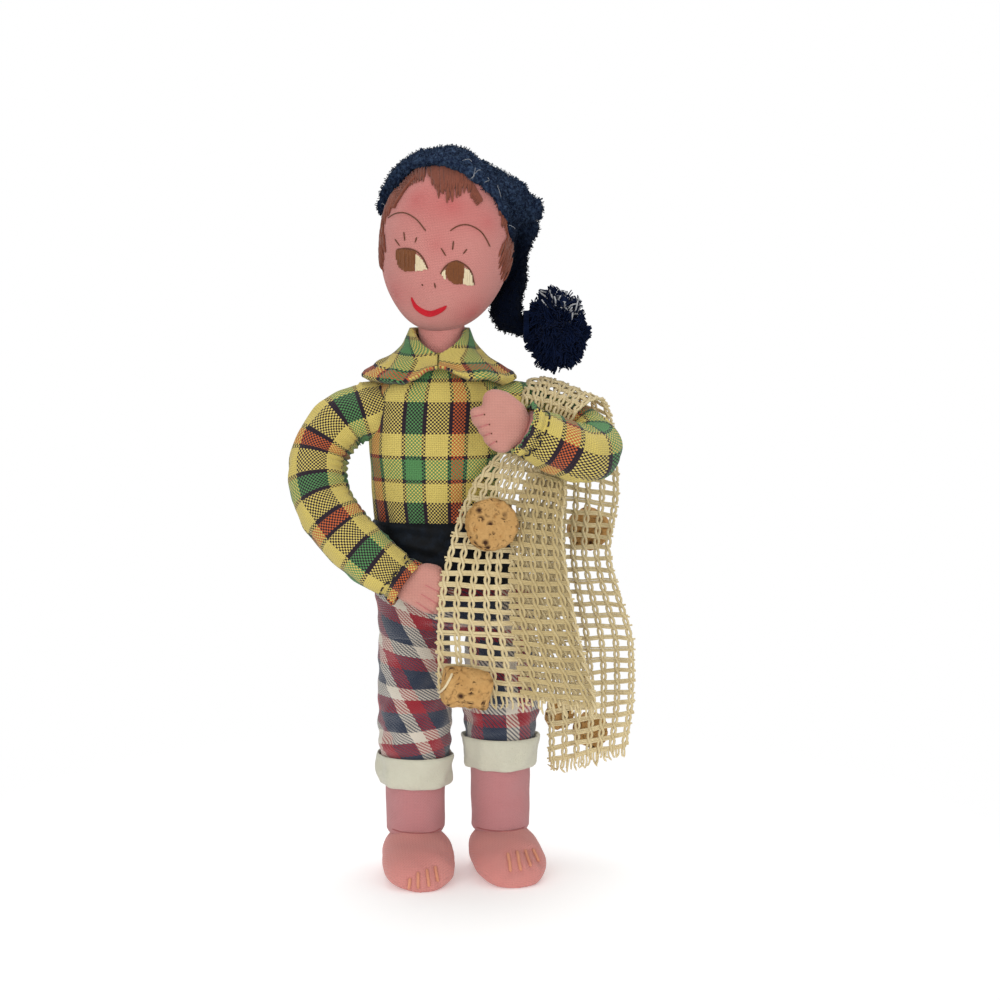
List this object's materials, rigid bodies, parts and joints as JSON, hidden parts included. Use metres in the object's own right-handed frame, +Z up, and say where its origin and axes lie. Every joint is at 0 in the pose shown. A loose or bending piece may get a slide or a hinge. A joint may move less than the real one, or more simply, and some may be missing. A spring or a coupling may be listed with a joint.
{
  "type": "cloth doll",
  "caption": "Standing cloth doll of a fisherman with a stuffed wired body, checked shirt and trousers, stocking cap, and an open net with cork floats over its left arm.",
  "frame": {"origin": "middle of the doll's box, on the ground under it", "axes": "+Z up, the doll faces -Y, its left side is +X"},
  "size_m": [0.1146, 0.0666, 0.2397],
  "materials": {
    "skin": "plain-woven pink cotton",
    "shirt_cotton": "yarn-dyed checked cotton",
    "trouser_flannel": "brushed checked flannel",
    "cuff_felt": "soft white felt",
    "sash_velvet": "dark velvet",
    "cap_wool": "boiled navy wool",
    "hair_yarn": "stitched brown yarn",
    "net_cotton": "open leno net, unbleached cotton",
    "cork": "raw cork",
    "wire": "soft annealed wire"
  },
  "bodies": {
    "torso": {"torso_body": "skin", "shirt_body": "shirt_cotton", "collar": "shirt_cotton", "sash": "sash_velvet", "trouser_seat": "trouser_flannel", "neck": "skin", "spine_wire": "wire"},
    "head": {"head": "skin", "hair": "hair_yarn", "cap": "cap_wool"},
    "cap_tail": {"cap_tail": "cap_wool", "pompom_tie": "cap_wool", "pompom": "cap_wool"},
    "right_arm": {"right_arm": "skin", "right_sleeve": "shirt_cotton", "right_hand": "skin", "right_arm_wire": "wire"},
    "left_arm": {"left_arm": "skin", "left_sleeve": "shirt_cotton", "left_hand": "skin", "left_arm_wire": "wire", "net_front": "net_cotton", "net_saddle": "net_cotton", "net_back": "net_cotton", "float_front_top": "cork", "float_front_corner": "cork", "float_back_side": "cork", "float_back_inner": "cork", "float_back_corner": "cork"},
    "right_leg": {"right_leg": "skin", "right_foot": "skin", "right_trouser_leg": "trouser_flannel", "right_cuff": "cuff_felt", "right_leg_wire": "wire"},
    "left_leg": {"left_leg": "skin", "left_foot": "skin", "left_trouser_leg": "trouser_flannel", "left_cuff": "cuff_felt", "left_leg_wire": "wire"}
  },
  "joints": [
    {"name": "neck_turn", "type": "hinge", "parent": "torso", "child": "head", "pos_m": [-0.00769, 0.00443, 0.182], "axis": [0, 0, 1], "range_deg": [-20, 20]},
    {"name": "tail_swing", "type": "hinge", "parent": "head", "child": "cap_tail", "pos_m": [0.02001, 0.01493, 0.215], "axis": [0, -1, 0], "range_deg": [0, 35]},
    {"name": "right_shoulder", "type": "hinge", "parent": "torso", "child": "right_arm", "pos_m": [-0.03039, 0.00543, 0.155], "axis": [0, 1, 0], "range_deg": [0, 35]},
    {"name": "left_shoulder", "type": "hinge", "parent": "torso", "child": "left_arm", "pos_m": [0.01411, 0.00643, 0.155], "axis": [0, 0, 1], "range_deg": [0, 25]},
    {"name": "right_hip", "type": "hinge", "parent": "torso", "child": "right_leg", "pos_m": [-0.01709, 0.00543, 0.084], "axis": [-1, 0, 0], "range_deg": [-25, 12]},
    {"name": "left_hip", "type": "hinge", "parent": "torso", "child": "left_leg", "pos_m": [0.01151, 0.00893, 0.084], "axis": [-1, 0, 0], "range_deg": [-25, 12]}
  ]
}
